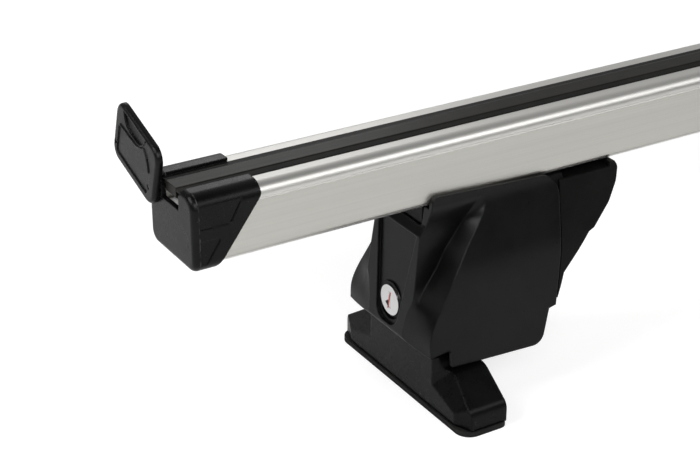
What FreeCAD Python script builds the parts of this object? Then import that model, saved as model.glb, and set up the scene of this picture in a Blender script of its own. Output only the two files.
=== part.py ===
import FreeCAD, Part
import math
import os
import Sketcher

# Roof rack crossbar: an aluminium bar with a rubber strip in its top slot, an end cap with a swinging
# flap at each end, and a lockable tower on a rubber-soled foot under each end.
# Each end is drawn in its own frame: x runs inward from the cap's end face, y across, z up from the roof.
# Lengths are in millimetres.
# The left end is that frame moved out by half the length, and the right end is it turned half a turn.

doc = FreeCAD.newDocument("crossbar")
sheet = doc.addObject("Spreadsheet::Sheet", "sizes")

SIZES = {
    # bar
    "bar_length": 1200.0,
    "bar_width": 36.0,
    "bar_height": 29.5,
    "bar_underside": 94.9,
    "bar_wall": 1.8,
    "bar_top_round": 5.0,
    "bar_low_round": 4.0,
    "web": 1.6,
    "slot_mouth": 9.4,
    "slot_width": 18.0,
    "slot_depth": 9.5,
    "slot_lip": 2.0,
    "seat_depth": 0.7,
    "channel_mouth": 10.6,
    "channel_width": 22.0,
    "channel_depth": 9.0,
    "channel_lip": 2.2,
    "groove_drop": 5.6,
    "groove_depth": 0.5,
    # rubber strip
    "strip_width": 16.6,
    "strip_edge": 0.25,
    "strip_crown": 0.7,
    "strip_foot_width": 12.4,
    "strip_foot": 0.6,
    "strip_reach": 1.4,
    "strip_fit": 0.15,
    # end cap
    "cap_wall": 1.6,
    "cap_end": 2.0,
    "cap_fit": 0.15,
    "cap_reach": 30.0,
    "cap_heel": 9.4,
    "cap_edge": 2.6,
    "notch_width": 15.0,
    "notch_depth": 7.6,
    "panel_depth": 0.45,
    "plug_width": 8.0,
    "plug_length": 16.0,
    # flap
    "flap_thickness": 2.8,
    "flap_round": 6.0,
    "flap_short": 1.9,
    "flap_trim": 1.4,
    "flap_panel": 0.5,
    "flap_scoop": 1.3,
    "flap_gap": 0.3,
    "flap_open": 162.0,
    "pivot_side": 13.4,
    "pivot_drop": 6.3,
    "pin_radius": 2.2,
    "barb_radius": 2.5,
    "pin_play": 0.05,
    # tower
    "tower_start": 99.2,
    "tower_length": 108.6,
    "front_setback": 7.7,
    "cover_gap": 8.3,
    "wing_half": 20.5,
    "wing_bulge_half": 29.8,
    "wing_foot_half": 33.6,
    "column_half": 14.6,
    "column_chamfer": 2.1,
    "cover_wall": 2.2,
    "cover_play": 0.4,
    "flank_stock": 120.0,
    "shield_depth": 1.4,
    "arm_step": 1.2,
    "arm_relief": 2.2,
    "saddle": 8.0,
    "body_floor": 27.4,
    "floor_plate": 6.0,
    # lock
    "lock_height": 12.0,
    "lock_radius": 7.0,
    "sleeve_wall": 1.5,
    "sleeve_length": 15.0,
    "core_length": 19.5,
    "cam_reach": 11.2,
    "catch_play": 0.35,
    "seat_gap": 0.02,
    # foot
    "foot_near": 107.8,
    "foot_width": 21.5,
    "foot_half": 51.0,
    "toe_root": 34.0,
    "toe_chamfer": 4.0,
    "pad_thickness": 2.4,
    "pad_rim": 0.8,
    "fixing_radius": 4.25,
    # fasteners
    "bolt_radius": 4.0,
    "bolt_play": 0.3,
    "head_radius": 6.5,
    "screw_radius": 3.0,
    "screw_side": 18.0,
    "thread_play": 0.05,
    "plate_length": 74.0,
    "plate_width": 20.0,
    "plate_thickness": 4.5,
}


class Size:
    """A length that knows its number and the formula in the sheet that gives it."""

    def __init__(self, number, formula):
        self.number = number
        self.formula = formula

    def join(self, other, sign, swap=False):
        if not isinstance(other, Size):
            other = Size(float(other), repr(float(other)))
        a, b = (other, self) if swap else (self, other)
        number = {"+": a.number + b.number, "-": a.number - b.number, "*": a.number * b.number}.get(sign)
        if sign == "/":
            number = a.number / b.number
        return Size(number, "(" + a.formula + " " + sign + " " + b.formula + ")")

    def __add__(self, other):
        return self.join(other, "+")

    def __radd__(self, other):
        return self.join(other, "+", True)

    def __sub__(self, other):
        return self.join(other, "-")

    def __rsub__(self, other):
        return self.join(other, "-", True)

    def __mul__(self, other):
        return self.join(other, "*")

    def __rmul__(self, other):
        return self.join(other, "*", True)

    def __truediv__(self, other):
        return self.join(other, "/")

    def __rtruediv__(self, other):
        return self.join(other, "/", True)

    def __neg__(self):
        return 0.0 - self


class Sizes:
    """Every driving size of the sheet, read by its name."""


def fill_sheet():
    for row, (name, value) in enumerate(SIZES.items(), start=1):
        cell = "A" + str(row)
        sheet.set(cell, repr(value))
        sheet.setAlias(cell, name)
        setattr(s, name, Size(value, "sizes." + name))
    doc.recompute()


s = Sizes()
fill_sheet()


def number(value):
    return value.number if isinstance(value, Size) else float(value)


def bind(thing, path, value):
    if isinstance(value, Size):
        thing.setExpression(path, value.formula)


def body(name, label):
    thing = doc.addObject("PartDesign::Body", name)
    thing.Label = label
    return thing


def sketch_on(owner, name, role, offset=0.0, tilt=0.0):
    """A sketch parallel to one of the body's own planes, moved out by offset and tilted about its x."""
    sketch = owner.newObject("Sketcher::SketchObject", name)
    plane = [p for p in owner.Origin.OriginFeatures if p.Role == role][0]
    sketch.AttachmentSupport = [(plane, "")]
    sketch.MapMode = "FlatFace"
    turn = FreeCAD.Rotation(FreeCAD.Vector(1, 0, 0), tilt)
    sketch.AttachmentOffset = FreeCAD.Placement(FreeCAD.Vector(0, 0, number(offset)), turn)
    bind(sketch, "AttachmentOffset.Base.z", offset)
    return sketch


def pin_down(sketch, geometry, position, x, y):
    """Fix one point of the sketch at x, y from its origin, as the sheet gives them."""
    for kind, value in (("DistanceX", x), ("DistanceY", y)):
        index = sketch.addConstraint(Sketcher.Constraint(kind, -1, 1, geometry, position, number(value)))
        bind(sketch, "Constraints[" + str(index) + "]", value)


def outline(sketch, corners):
    """A closed outline through corners (x, y) or (x, y, radius), which run anticlockwise."""
    count = len(corners)
    points = [FreeCAD.Vector(number(c[0]), number(c[1]), 0) for c in corners]
    ins, outs, arcs = [], [], []
    for i, corner in enumerate(corners):
        before = (points[i - 1] - points[i]).normalize()
        after = (points[(i + 1) % count] - points[i]).normalize()
        if len(corner) < 3:
            ins.append(points[i])
            outs.append(points[i])
            arcs.append(None)
            continue
        radius = number(corner[2])
        half = before.getAngle(after) / 2
        reach = radius / math.tan(half)
        centre = points[i] + (before + after).normalize() * (radius / math.sin(half))
        left_turn = (-before).cross(after).z > 0
        ins.append(points[i] + before * reach)
        outs.append(points[i] + after * reach)
        first, last = (ins[i], outs[i]) if left_turn else (outs[i], ins[i])
        angles = [math.atan2(p.y - centre.y, p.x - centre.x) for p in (first, last)]
        circle = Part.Circle(centre, FreeCAD.Vector(0, 0, 1), radius)
        arcs.append((sketch.addGeometry(Part.ArcOfCircle(circle, *angles)), left_turn, corner[2]))
    lines = []
    for i in range(count):
        lines.append(sketch.addGeometry(Part.LineSegment(outs[i], ins[(i + 1) % count])))
    for i, corner in enumerate(corners):
        if arcs[i] is None:
            sketch.addConstraint(Sketcher.Constraint("Coincident", lines[i - 1], 2, lines[i], 1))
            pin_down(sketch, lines[i], 1, corner[0], corner[1])
            continue
        arc, left_turn, radius = arcs[i]
        start, end = (1, 2) if left_turn else (2, 1)
        sketch.addConstraint(Sketcher.Constraint("Tangent", lines[i - 1], 2, arc, start))
        sketch.addConstraint(Sketcher.Constraint("Tangent", arc, end, lines[i], 1))
        index = sketch.addConstraint(Sketcher.Constraint("Radius", arc, number(radius)))
        bind(sketch, "Constraints[" + str(index) + "]", radius)
        tip = sketch.addGeometry(Part.Point(points[i]), True)
        sketch.addConstraint(Sketcher.Constraint("PointOnObject", tip, 1, lines[i - 1]))
        sketch.addConstraint(Sketcher.Constraint("PointOnObject", tip, 1, lines[i]))
        pin_down(sketch, tip, 1, corner[0], corner[1])


def circle(sketch, x, y, radius):
    ring = sketch.addGeometry(Part.Circle(FreeCAD.Vector(number(x), number(y), 0),
                                          FreeCAD.Vector(0, 0, 1), number(radius)))
    index = sketch.addConstraint(Sketcher.Constraint("Radius", ring, number(radius)))
    bind(sketch, "Constraints[" + str(index) + "]", radius)
    pin_down(sketch, ring, 3, x, y)


def feature(owner, kind, name, sketch, length=None, both=False, back=False, taper=0.0, through=False):
    """A pad or pocket of a sketch: both ways from it, or back against its own direction."""
    doc.recompute()
    before = owner.Tip.Shape.Volume if owner.Tip else 0.0
    thing = owner.newObject("PartDesign::" + kind, name)
    thing.Profile = sketch
    if through:
        thing.Type = "ThroughAll"
    else:
        thing.Length = number(length)
        bind(thing, "Length", length)
    thing.Midplane = both
    thing.Reversed = back
    if taper:
        thing.TaperAngle = taper
    doc.recompute()
    change = thing.Shape.Volume - before
    wrong = change <= 0 if kind == "Pad" else change >= 0
    if wrong:
        raise ValueError(owner.Label + ": " + name + " changes the volume by " + str(change))
    return thing


def rounded_edges(owner, name, radius, chosen, kind="Fillet"):
    """Round, or chamfer, the edges of the body so far that the test chooses."""
    doc.recompute()
    base = owner.Tip
    names = ["Edge" + str(i) for i, edge in enumerate(base.Shape.Edges, start=1) if chosen(edge)]
    if not names:
        raise ValueError(owner.Label + ": " + name + " finds no edge")
    thing = owner.newObject("PartDesign::" + kind, name)
    thing.Base = (base, names)
    path = "Radius" if kind == "Fillet" else "Size"
    setattr(thing, path, number(radius))
    bind(thing, path, radius)
    doc.recompute()
    return thing


def place(thing, side, y=0.0, z=0.0, turn=0.0):
    """Put a piece of one end where that end is: side is -1 for the left end and 1 for the right."""
    spin = FreeCAD.Rotation(FreeCAD.Vector(0, 0, 1), 0 if side < 0 else 180)
    roll = FreeCAD.Rotation(FreeCAD.Vector(1, 0, 0), turn)
    half = s.bar_length / 2 + s.cap_end
    base = FreeCAD.Vector(side * half.number, -side * number(y), number(z))
    thing.Placement = FreeCAD.Placement(base, spin.multiply(roll))
    bind(thing, "Placement.Base.x", side * half)
    bind(thing, "Placement.Base.y", -side * y)
    bind(thing, "Placement.Base.z", z)


def mirrored(half_outline):
    """The corners of one half, y above zero, followed by those of the other half."""
    other = [(-c[0],) + tuple(c[1:]) for c in reversed(half_outline)]
    return half_outline + other


# Heights and half widths that several pieces share

bar_top = s.bar_underside + s.bar_height
bar_half = s.bar_width / 2
slot_floor = bar_top - s.slot_depth
channel_roof = s.bar_underside + s.channel_depth
lip_underside = bar_top - s.seat_depth - s.slot_lip
floor_top = s.body_floor + s.floor_plate
SIDES = ((-1, "left"), (1, "right"))


reach = s.tower_length / 108.6
rise = (s.bar_underside - floor_top) / 61.5
girth = s.wing_half / 20.5


def drop(depth):
    """The height that lies this far below the bar on a tower of the drawn height."""
    return s.bar_underside - depth * rise


def wing_edge(depth):
    """Half width of the cover's bulging wings, that far below the bar."""
    if depth <= 0.0:
        return s.wing_half
    if depth <= 30.0:
        return s.wing_half + (s.wing_bulge_half - s.wing_half) * (depth / 30.0)
    return s.wing_bulge_half + (s.wing_foot_half - s.wing_bulge_half) * ((depth - 30.0) / 41.5)


def wing_flank(inset=0.0):
    """The wings' flank from low to high, less an inset: half width, height and rounding."""
    levels = [(90.0,), (30.0, 60.0), (0.0, 20.0), (-50.0,)]
    return [(wing_edge(level[0]) - inset, drop(level[0])) + level[1:] for level in levels]


def column_flank(inset=0.0):
    """The flank of the room inside the cover's front column, less an inset."""
    return [(s.column_half - inset, drop(depth)) for depth in (90.0, -50.0)]


def front_at(depth):
    """How far in the cover's raked front lies, that far below the bar."""
    return s.tower_start + s.front_setback * ((63.5 - depth) / 63.5)


# Bar and strip

def bar_profile():
    thing = body("Bar", "bar_profile")
    section = sketch_on(thing, "BarSection", "YZ_Plane")
    low, top, half = s.bar_underside, bar_top, bar_half
    groove = top - s.groove_drop
    right = [
        (s.channel_mouth / 2, low),
        (half, low, s.bar_low_round),
        (half, groove - s.groove_depth),
        (half - s.groove_depth, groove),
        (half, groove + s.groove_depth),
        (half, top, s.bar_top_round),
        (s.strip_width / 2 + s.strip_fit, top),
        (s.strip_width / 2 + s.strip_fit, top - s.seat_depth),
        (s.slot_mouth / 2, top - s.seat_depth),
        (s.slot_mouth / 2, lip_underside),
        (s.slot_width / 2, lip_underside),
        (s.slot_width / 2, slot_floor),
    ]
    channel = [
        (-s.channel_mouth / 2, low + s.channel_lip),
        (-s.channel_width / 2, low + s.channel_lip),
        (-s.channel_width / 2, channel_roof),
    ]
    roof = [(-c[0], c[1]) for c in reversed(channel)]
    outline(section, mirrored(right) + channel + roof)
    inner = half - s.bar_wall
    web_low, web_high = channel_roof + s.web, slot_floor - s.web
    outline(section, [(-inner, web_low), (inner, web_low), (inner, web_high), (-inner, web_high)])
    for sign in (-1, 1):
        upper_in, lower_in = s.slot_width / 2 + s.web, s.channel_width / 2 + s.web
        soft = s.bar_top_round - s.bar_wall
        low_soft = s.bar_low_round - s.bar_wall
        upper = [(upper_in, slot_floor), (inner, slot_floor), (inner, top - s.bar_wall, soft),
                 (upper_in, top - s.bar_wall)]
        lower = [(lower_in, low + s.bar_wall), (inner, low + s.bar_wall, low_soft),
                 (inner, channel_roof), (lower_in, channel_roof)]
        for hole in (upper, lower):
            if sign < 0:
                hole = [(-c[0],) + tuple(c[1:]) for c in reversed(hole)]
            outline(section, hole)
    feature(thing, "Pad", "BarLength", section, s.bar_length, both=True)
    return thing


def slot_strip():
    thing = body("Strip", "slot_strip")
    section = sketch_on(thing, "StripSection", "YZ_Plane")
    seat = bar_top - s.seat_depth
    stem = s.slot_mouth / 2 - s.strip_fit
    foot_top = lip_underside - s.strip_fit
    right = [
        (s.strip_foot_width / 2, foot_top - s.strip_foot),
        (s.strip_foot_width / 2, foot_top),
        (stem, foot_top),
        (stem, seat + s.strip_fit / 3),
        (s.strip_width / 2, seat + s.strip_fit / 3),
        (s.strip_width / 2, bar_top + s.strip_edge),
        (s.strip_width / 4, bar_top + s.strip_crown, 14.0),
    ]
    outline(section, mirrored(right))
    feature(thing, "Pad", "StripLength", section, s.bar_length + 2 * s.strip_reach, both=True)
    return thing


# End cap and flap

def cap_outline(grow=0.0):
    """The cap's rounded section: the bar's own outline grown by the wall, or a little less."""
    half = bar_half + s.cap_wall + grow
    low = s.bar_underside - s.cap_wall - grow
    top = bar_top + s.cap_wall + grow
    return [(-half, low, s.bar_low_round + s.cap_wall), (half, low, s.bar_low_round + s.cap_wall),
            (half, top, s.bar_top_round + s.cap_wall), (-half, top, s.bar_top_round + s.cap_wall)]


def end_cap(side, word):
    thing = body("Cap" + word, word + "_end_cap")
    shell = sketch_on(thing, "CapSection", "YZ_Plane")
    outline(shell, cap_outline())
    feature(thing, "Pad", "CapLength", shell, s.cap_reach)
    rounded_edges(thing, "CapEdge", s.cap_edge, lambda e: e.BoundBox.XMax < 0.01)
    # room for the bar's end
    room = sketch_on(thing, "BarRoom", "YZ_Plane", s.cap_end)
    half, low, top = bar_half + s.cap_fit, s.bar_underside - s.cap_fit, bar_top + s.cap_fit
    outline(room, [(-half, low, s.bar_low_round), (half, low, s.bar_low_round),
                   (half, top, s.bar_top_round), (-half, top, s.bar_top_round)])
    feature(thing, "Pocket", "BarPocket", room, s.cap_reach, back=True)
    # the raked wings: a triangle on each side, from the whole top down to a short heel
    rake = sketch_on(thing, "Rake", "XZ_Plane")
    heel, reach = s.cap_heel, s.cap_reach
    under = s.bar_underside - s.cap_wall
    outline(rake, [(s.cap_edge, under - 1.0), (reach + 10.0, under - 10.0), (reach + 10.0, top + 10.0),
                   (reach, top + 10.0), (reach, bar_top - 3.0, 3.0), (heel, under, 6.0)])
    feature(thing, "Pocket", "RakeCut", rake, s.bar_width * 2, both=True)
    # the open middle of the top, and the notch in the end wall where the slot comes out
    gap = sketch_on(thing, "TopGap", "YZ_Plane", -1.0)
    gap_half = s.strip_width / 2 + 0.5
    seat = bar_top - s.seat_depth
    outline(gap, [(-gap_half, seat), (gap_half, seat), (gap_half, top + 5.0), (-gap_half, top + 5.0)])
    feature(thing, "Pocket", "TopGapCut", gap, s.cap_reach * 2, back=True)
    notch = sketch_on(thing, "Notch", "YZ_Plane", -1.0)
    notch_half = s.notch_width / 2
    outline(notch, [(-notch_half, bar_top - s.notch_depth), (notch_half, bar_top - s.notch_depth),
                    (notch_half, top + 5.0), (-notch_half, top + 5.0)])
    feature(thing, "Pocket", "NotchCut", notch, s.cap_end + 1.5, back=True)
    # two shallow panels on each side, parted by a rib and framed by a rim along the rake
    for sign, mark in ((1, "Near"), (-1, "Far")):
        deep = sign * (bar_half + s.cap_wall - s.panel_depth)
        panels = sketch_on(thing, "Panels" + mark, "XZ_Plane", deep)
        base, front = s.bar_underside, s.cap_edge + 0.2
        outline(panels, [(front, base + 17.3), (16.1, base + 17.3, 1.5), (25.5, base + 34.0), (front, base + 34.0)])
        outline(panels, [(front, base + 0.8), (4.6, base + 0.8, 1.5), (12.4, base + 12.4, 1.0), (front, base + 12.4)])
        feature(thing, "Pocket", "PanelCut" + mark, panels, 5.0, back=sign > 0)
    # two barbed plugs grip the bar's middle chamber
    plug = sketch_on(thing, "Plugs", "YZ_Plane", s.cap_end / 2)
    web_low, web_high = channel_roof + s.web + 0.2, slot_floor - s.web - 0.2
    inner = bar_half - s.bar_wall - 0.2
    for a, b in ((-inner, s.plug_width - inner), (inner - s.plug_width, inner)):
        outline(plug, [(a, web_low), (b, web_low), (b, web_high), (a, web_high)])
    feature(thing, "Pad", "PlugPad", plug, s.plug_length)
    # the flap's pin turns in this hole
    hole = sketch_on(thing, "PinHole", "YZ_Plane", -1.0)
    circle(hole, s.pivot_side, bar_top - s.pivot_drop, s.pin_radius + s.pin_play)
    feature(thing, "Pocket", "PinHoleCut", hole, s.cap_end + 1.5, back=True)
    place(thing, side)
    return thing


def cap_flap(side, word, turn):
    """Drawn shut, about its pin: y across and z up from the pin's axis."""
    thing = body("Flap" + word, word + "_cap_flap")
    plate = sketch_on(thing, "FlapOutline", "YZ_Plane", -s.flap_gap)
    shift_y, shift_z = s.pivot_side, bar_top - s.pivot_drop
    base = s.bar_underside - shift_z
    half, low, high = bar_half + s.cap_wall, base + s.flap_short, base + s.bar_height + 0.3

    def on_flap(points):
        """Points given across from the bar's middle and up from its underside."""
        return [(c[0] - shift_y, c[1] + base) + tuple(c[2:]) for c in points]

    soft = s.flap_round
    left, right = -half - shift_y, half - s.flap_trim - shift_y
    outline(plate, [(left, low, soft), (right, low, soft), (right, high, soft), (left, high, soft)])
    feature(thing, "Pad", "FlapPlate", plate, s.flap_thickness, back=True)
    rounded_edges(thing, "FlapEdge", 1.6, lambda e: e.BoundBox.XMax < -s.flap_thickness.number)
    face = -s.flap_gap - s.flap_thickness
    panel = sketch_on(thing, "FlapPanel", "YZ_Plane", face)
    outline(panel, on_flap([(-16.0, 12.0, 2.0), (1.8, 11.4, 8.0), (6.8, 7.2, 3.0), (12.8, 14.8, 3.0),
                            (12.8, 26.2, 1.5), (-16.0, 26.2, 1.5)]))
    feature(thing, "Pocket", "PanelCut", panel, s.flap_panel, back=True)
    grip = sketch_on(thing, "FingerScoop", "YZ_Plane", face)
    outline(grip, on_flap([(-12.8, 3.5, 0.8), (7.4, 3.5, 0.8), (4.6, 8.6, 6.0), (-7.4, 9.6, 6.0)]))
    feature(thing, "Pocket", "ScoopCut", grip, s.flap_scoop, back=True)
    nicks = sketch_on(thing, "Nicks", "YZ_Plane", face)
    for y in (-17.6, 12.8):
        outline(nicks, on_flap([(y, 20.8), (y + 1.5, 22.4), (y, 24.0), (y - 1.5, 22.4)]))
    feature(thing, "Pocket", "NickCut", nicks, s.flap_panel + 0.5, back=True)
    pin = sketch_on(thing, "Pin", "YZ_Plane", -s.flap_gap - 1.0)
    circle(pin, 0.0, 0.0, s.pin_radius)
    feature(thing, "Pad", "PinPad", pin, s.cap_end + s.flap_gap + 4.2)
    barb = sketch_on(thing, "Barb", "YZ_Plane", s.cap_end + 0.3)
    circle(barb, 0.0, 0.0, s.barb_radius)
    feature(thing, "Pad", "BarbPad", barb, 2.0)
    place(thing, side, s.pivot_side, bar_top - s.pivot_drop, turn)
    return thing


# Tower

def flank_points(corners):
    """Side outline points given as distance in from the tower's front and drop below the bar."""
    return [(s.tower_start + c[0] * reach, drop(c[1])) + tuple(c[2:]) for c in corners]


def leaning_block(name, corners, flank):
    """A side outline as thick as the tower, with both sides cut back to a flank given from low to high."""
    thing = body(name, name)
    side = sketch_on(thing, name + "Side", "XZ_Plane")
    outline(side, corners)
    feature(thing, "Pad", name + "Pad", side, s.flank_stock, both=True)
    section = sketch_on(thing, name + "Flank", "YZ_Plane")
    far = s.flank_stock
    right = [flank[0], (far, flank[0][1]), (far, flank[-1][1])] + list(reversed(flank[1:]))
    outline(section, right)
    outline(section, [(-c[0],) + tuple(c[1:]) for c in reversed(right)])
    feature(thing, "Pocket", name + "Cut", section, s.bar_length, both=True)
    return thing


def joined(kind, name, base, tool):
    thing = doc.addObject("Part::" + kind, name)
    if kind == "MultiFuse":
        thing.Shapes = [base] + tool
    else:
        thing.Base = base
        thing.Tool = tool
    thing.Refine = True
    doc.recompute()
    return thing


def level_cut(owner, name, levels, sign):
    """Cut a loft through level sections: each has a drop below the bar and its corners, in and across."""
    sketches = []
    for index, (depth, corners) in enumerate(levels):
        sketch = sketch_on(owner, name + str(index), "XY_Plane", drop(depth))
        points = [(s.tower_start + a * reach, wing_edge(depth) if y is None else y * girth) for a, y in corners]
        hollow, wing = points[-2], points[-1]
        # the last face runs on a little past the wing's surface, and the first starts before the front
        past = (wing[0] + (wing[0] - hollow[0]) / 6, wing[1] + (wing[1] - hollow[1]) / 6)
        start, far = s.tower_start - 15.0, s.flank_stock / 2
        ring = [(start, points[0][1])] + points[:-1] + [past, (past[0], far), (start, far)]
        ring = [(x, sign * y) for x, y in ring]
        outline(sketch, ring if sign > 0 else list(reversed(ring)))
        sketches.append(sketch)
    cut_loft(owner, name, sketches)


def cut_loft(owner, name, sketches, ruled=False):
    doc.recompute()
    before = owner.Tip.Shape.Volume
    thing = owner.newObject("PartDesign::SubtractiveLoft", name)
    thing.Profile = sketches[0]
    thing.Sections = sketches[1:]
    thing.Ruled = ruled
    doc.recompute()
    if thing.Shape.Volume >= before:
        raise ValueError(owner.Label + ": " + name + " cuts nothing")


def tower_cover(side, word):
    # the side outline, with a window left between the column's top and the bar
    corners = flank_points([(0.0, 63.5, 2.5), (13.2, 61.6, 2.0), (13.4, 69.9), (28.4, 70.7), (60.9, 72.1, 6.0),
                            (65.0, 56.3), (68.7, 55.5), (75.7, -1.8, 9.0), (10.3, -5.5, 3.0)])
    corners += [
        (front_at(s.cover_gap) + s.column_chamfer, drop(s.cover_gap)),
        (front_at(s.cover_gap + 4.6), drop(s.cover_gap + 4.6)),
    ]
    outer = leaning_block("CoverOuter" + word, corners, wing_flank())
    # the hollow between the column's flank and the wing, which ends below as a facet of the front
    hollow = [
        (-2.0, [(0.0, 20.6), (36.2, 20.6), (37.2, 20.65)]),
        (1.5, [(0.0, 20.0), (32.6, 20.0), (36.6, None)]),
        (10.0, [(0.0, 17.5), (28.0, 17.3), (31.7, None)]),
        (18.0, [(0.0, 17.4), (21.8, 17.2), (24.8, None)]),
        (26.0, [(0.0, 17.9), (16.6, 17.5), (18.7, None)]),
        (33.0, [(0.6, 18.2), (11.6, 18.0), (14.1, None)]),
        (39.0, [(1.6, 18.0), (6.6, 19.0), (10.6, None)]),
        (44.0, [(2.2, 16.9), (3.8, 20.4), (7.5, None)]),
        (48.5, [(1.9, 15.5), (2.7, 20.2), (5.0, None)]),
        (53.0, [(1.3, 14.3), (1.9, 19.2), (3.2, None)]),
        (59.0, [(0.6, 13.6), (1.1, 18.7), (2.5, None)]),
        (66.0, [(-0.2, 13.5), (0.2, 18.4), (1.8, None)]),
    ]
    for sign, mark in ((-1, "Near"), (1, "Far")):
        level_cut(outer, "Hollow" + mark, hollow, sign)
    # the shield-shaped panel round the lock, sunk into the raked front
    lean = math.degrees(math.atan(number(s.front_setback / (63.5 * rise))))
    foot_of_front = front_at(63.5) - s.front_setback / (63.5 * rise) * drop(63.5)
    shield = sketch_on(outer, "Shield", "YZ_Plane", foot_of_front + s.shield_depth, tilt=lean)
    low, wide = lock_axis() - 10.0, drop(s.cover_gap + 4.8)
    outline(shield, [(-7.6, low, 6.0), (7.6, low, 6.0), (14.8, wide), (-14.8, wide)])
    feature(outer, "Pocket", "ShieldCut", shield, 20.0)
    bore = sketch_on(outer, "SleeveBore", "YZ_Plane", s.tower_start - 5.0)
    circle(bore, 0.0, lock_axis(), s.lock_radius + s.sleeve_wall + 0.1)
    feature(outer, "Pocket", "SleeveBoreCut", bore, 20.0, back=True)

    inside = cover_inside()
    deep, over, far = drop(90.0), drop(-15.0), s.tower_start + 90.0 * reach
    room = [(inside, deep), (far, deep), (far, over)]
    room += flank_points([(45.5, -15.0), (45.0, 2.0), (30.6, 18.1), (17.4, 37.5), (11.6, 45.0), (9.6, 49.0)])
    room.append((inside, drop(49.2)))
    wide_room = leaning_block("CoverRoom" + word, room, wing_flank(s.cover_wall))
    slim = [(inside, deep), (far, deep), (far, over), (inside, over)]
    throat = leaning_block("CoverThroat" + word, slim, column_flank())
    # the wings stand clear of the bar's flanks
    berth = body("CoverBerth" + word, "CoverBerth" + word)
    section = sketch_on(berth, "BerthSection", "YZ_Plane", s.tower_start - 5.0)
    half, under = bar_half + 0.3, s.bar_underside - 0.3
    outline(section, [(-half, under), (half, under), (half, over), (-half, over)])
    feature(berth, "Pad", "BerthPad", section, 100.0 * reach)
    cavity = joined("MultiFuse", "CoverCavity" + word, wide_room, [throat, berth])
    thing = joined("Cut", "Cover" + word, outer, cavity)
    thing.Label = word + "_tower_cover"
    place(thing, side)
    return thing


def cover_inside():
    """Where the cover's front wall ends and its room begins."""
    return front_at(s.cover_gap) + s.column_chamfer - 0.1


def lock_axis():
    return floor_top + s.lock_height


def tower_body(side, word):
    inset = s.cover_wall + s.cover_play
    inside = cover_inside() + s.cover_play
    top = s.bar_underside
    under = top - s.saddle
    start = s.tower_start
    main = [(start + 27.0 * reach, s.body_floor), (start + 58.0 * reach, s.body_floor)]
    main += flank_points([(68.5, 55.0), (72.0, 47.0), (74.4, 42.8), (79.0, 38.0), (79.0, 0.0), (46.2, 0.0),
                          (45.6, 2.4), (31.2, 18.6), (27.0, 25.0)])
    wide = leaning_block("BodyWide" + word, main, wing_flank(inset))
    window = sketch_on(wide, "Window", "XZ_Plane")
    outline(window, flank_points([(37.0, 51.5, 4.0), (61.0, 51.5, 4.0), (67.0, 35.5, 4.0),
                                  (67.0, 12.5, 4.0), (43.0, 12.5, 4.0), (37.0, 27.5, 4.0)]))
    feature(wide, "Pocket", "WindowCut", window, s.flank_stock, both=True)
    slim = [(inside, drop(31.5))] + flank_points([(27.3, 31.5), (51.0, 8.0), (51.0, 0.0)]) + [(inside, top)]
    narrow = leaning_block("BodyThroat" + word, slim, column_flank(s.cover_play))
    arm = flank_points([(70.5, 53.3), (72.6, 47.4), (74.1, 42.2), (88.6, 26.7, 2.0), (91.5, 25.6, 2.0),
                        (101.2, 16.5, 12.0), (106.5, 8.5, 10.0), (108.4, 2.3, 3.0), (106.8, 0.0), (76.6, 0.0)])
    tail = leaning_block("BodyArm" + word, arm, wing_flank(s.arm_step))
    # a step along each side of the arm's top keeps it clear of the bar
    relief = sketch_on(tail, "Relief", "YZ_Plane")
    for sign in (1, -1):
        step = [(12.0, top - s.arm_relief), (30.0, top - s.arm_relief), (30.0, top + 5.0), (12.0, top + 5.0)]
        outline(relief, step if sign > 0 else [(-y, z) for y, z in reversed(step)])
    feature(tail, "Pocket", "ReliefCut", relief, start + 104.0 * reach, back=True)
    plate = body("BodyPlate" + word, "BodyPlate" + word)
    flat = sketch_on(plate, "PlateOutline", "XY_Plane", s.body_floor)
    near, far = s.foot_near + 0.5, start + 29.0 * reach
    outline(flat, [(near, -26.0, 3.0), (far, -26.0), (far, 26.0), (near, 26.0, 3.0)])
    feature(plate, "Pad", "PlatePad", flat, s.floor_plate)
    # the locked cam turns in behind this lug
    catch = body("Catch" + word, "Catch" + word)
    lug = sketch_on(catch, "CatchOutline", "YZ_Plane", cam_start() - s.catch_play)
    outline(lug, [(s.lock_radius + 1.7, floor_top - 1.0), (s.lock_radius + 5.6, floor_top - 1.0),
                  (s.lock_radius + 5.6, lock_axis() + 3.0, 1.5), (s.lock_radius + 1.7, lock_axis() + 3.0)])
    feature(catch, "Pad", "CatchPad", lug, 1.5, back=True)
    whole = joined("MultiFuse", "BodyWhole" + word, wide, [narrow, tail, plate, catch])
    holes = body("BodyHoles" + word, "BodyHoles" + word)
    for index, x in enumerate(bolt_places()):
        drill = sketch_on(holes, "Bolt" + str(index), "XY_Plane", under - 6.0)
        circle(drill, x, 0.0, s.bolt_radius + s.bolt_play)
        feature(holes, "Pad", "BoltPad" + str(index), drill, s.saddle + 20.0)
        head = sketch_on(holes, "Head" + str(index), "XY_Plane", under - 50.0)
        circle(head, x, 0.0, s.head_radius + 2.5)
        feature(holes, "Pad", "HeadPad" + str(index), head, 50.0)
    for index, y in enumerate(screw_places()):
        drill = sketch_on(holes, "Screw" + str(index), "XY_Plane", s.body_floor - 4.0)
        circle(drill, foot_middle(), y, s.screw_radius + 0.2)
        feature(holes, "Pad", "ScrewPad" + str(index), drill, s.floor_plate + 8.0)
    drill = sketch_on(holes, "Fixing", "XY_Plane", s.body_floor - 4.0)
    circle(drill, foot_middle(), 0.0, s.fixing_radius + 4.0)
    feature(holes, "Pad", "FixingPad", drill, s.floor_plate + 8.0)
    thing = joined("Cut", "Body" + word, whole, holes)
    thing.Label = word + "_tower_body"
    place(thing, side)
    return thing


def bolt_places():
    return (s.tower_start + 52.0 * reach, s.tower_start + 89.0 * reach)


def screw_places():
    return (-s.screw_side, s.screw_side)


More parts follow.
